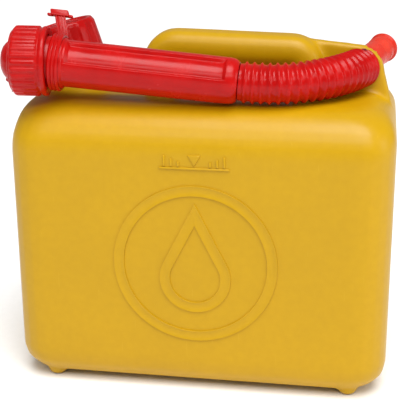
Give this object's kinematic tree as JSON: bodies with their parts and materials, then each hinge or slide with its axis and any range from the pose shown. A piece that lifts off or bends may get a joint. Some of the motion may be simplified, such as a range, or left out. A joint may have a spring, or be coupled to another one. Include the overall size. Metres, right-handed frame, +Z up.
{
  "type": "fuel can",
  "caption": "Moulded fuel can with a carrying handle, a lugged screw closure on a tilted neck and a flexible pouring spout stored along its shoulder.",
  "frame": {"origin": "middle of the overall length and depth, on the surface that the four feet stand on", "axes": "+X along the can to the end with the nozzle's eye, +Y to the back, away from the stored spout and the emblem, +Z up"},
  "size_m": [0.2587, 0.1498, 0.2567],
  "materials": {
    "yellow_shell": "satin blow-moulded polyethylene",
    "red_closure": "satin injection-moulded polyethylene",
    "red_spout": "glossy flexible polyethylene",
    "thin_nozzle": "thin, slightly translucent polyethylene",
    "seal_rubber": "matt nitrile rubber"
  },
  "bodies": {
    "tank": {"tank_shell": "yellow_shell"},
    "filler_gasket": {"filler_cap_gasket": "seal_rubber"},
    "filler_cap_core": {"filler_cap_inner": "red_closure"},
    "filler_cap_shell": {"filler_cap_outer": "red_closure"},
    "spout": {"spout_tube": "red_spout", "spout_hose": "red_spout", "spout_nozzle": "thin_nozzle", "spout_gasket": "seal_rubber"},
    "union_nut": {"spout_nut": "red_closure"},
    "nut_plug": {"spout_nut_plug": "red_closure"},
    "tether": {"tether_strap": "red_closure"}
  },
  "joints": [
    {"name": "cap_lift", "type": "slide", "parent": "tank", "child": "filler_gasket", "axis": [-0.2588, 0, 0.9659], "range_m": [0, 0.009]},
    {"name": "cap_turn", "type": "hinge", "parent": "filler_gasket", "child": "filler_cap_core", "pos_m": [-0.09319, 0.00702, 0.199], "axis": [-0.2588, 0, 0.9659], "range_deg": [0, 540]},
    {"name": "cap_push", "type": "slide", "parent": "filler_cap_core", "child": "filler_cap_shell", "axis": [0.2588, 0, -0.9659], "range_m": [0, 0.002], "stiffness_N_per_m": 1500},
    {"name": "spout_draw", "type": "slide", "parent": "tank", "child": "spout", "axis": [-0.3827, -0.9105, -0.1564], "range_m": [0, 0.01]},
    {"name": "nut_spin", "type": "hinge", "parent": "spout", "child": "union_nut", "pos_m": [-0.09905, -0.04972, 0.2252], "axis": [0.9923, 0.1218, -0.0218], "continuous": true},
    {"name": "plug_pull", "type": "slide", "parent": "union_nut", "child": "nut_plug", "axis": [-0.9923, -0.1218, 0.0218], "range_m": [0, 0.014]},
    {"name": "tether_swivel", "type": "hinge", "parent": "spout", "child": "tether", "pos_m": [-0.09905, -0.04972, 0.2252], "axis": [0.995, 0.0434, -0.0901], "range_deg": [-15, 110]}
  ],
  "couplings": [
    {"joint": "cap_lift", "follows": "cap_turn", "m_per_rad": 0.00095493}
  ]
}
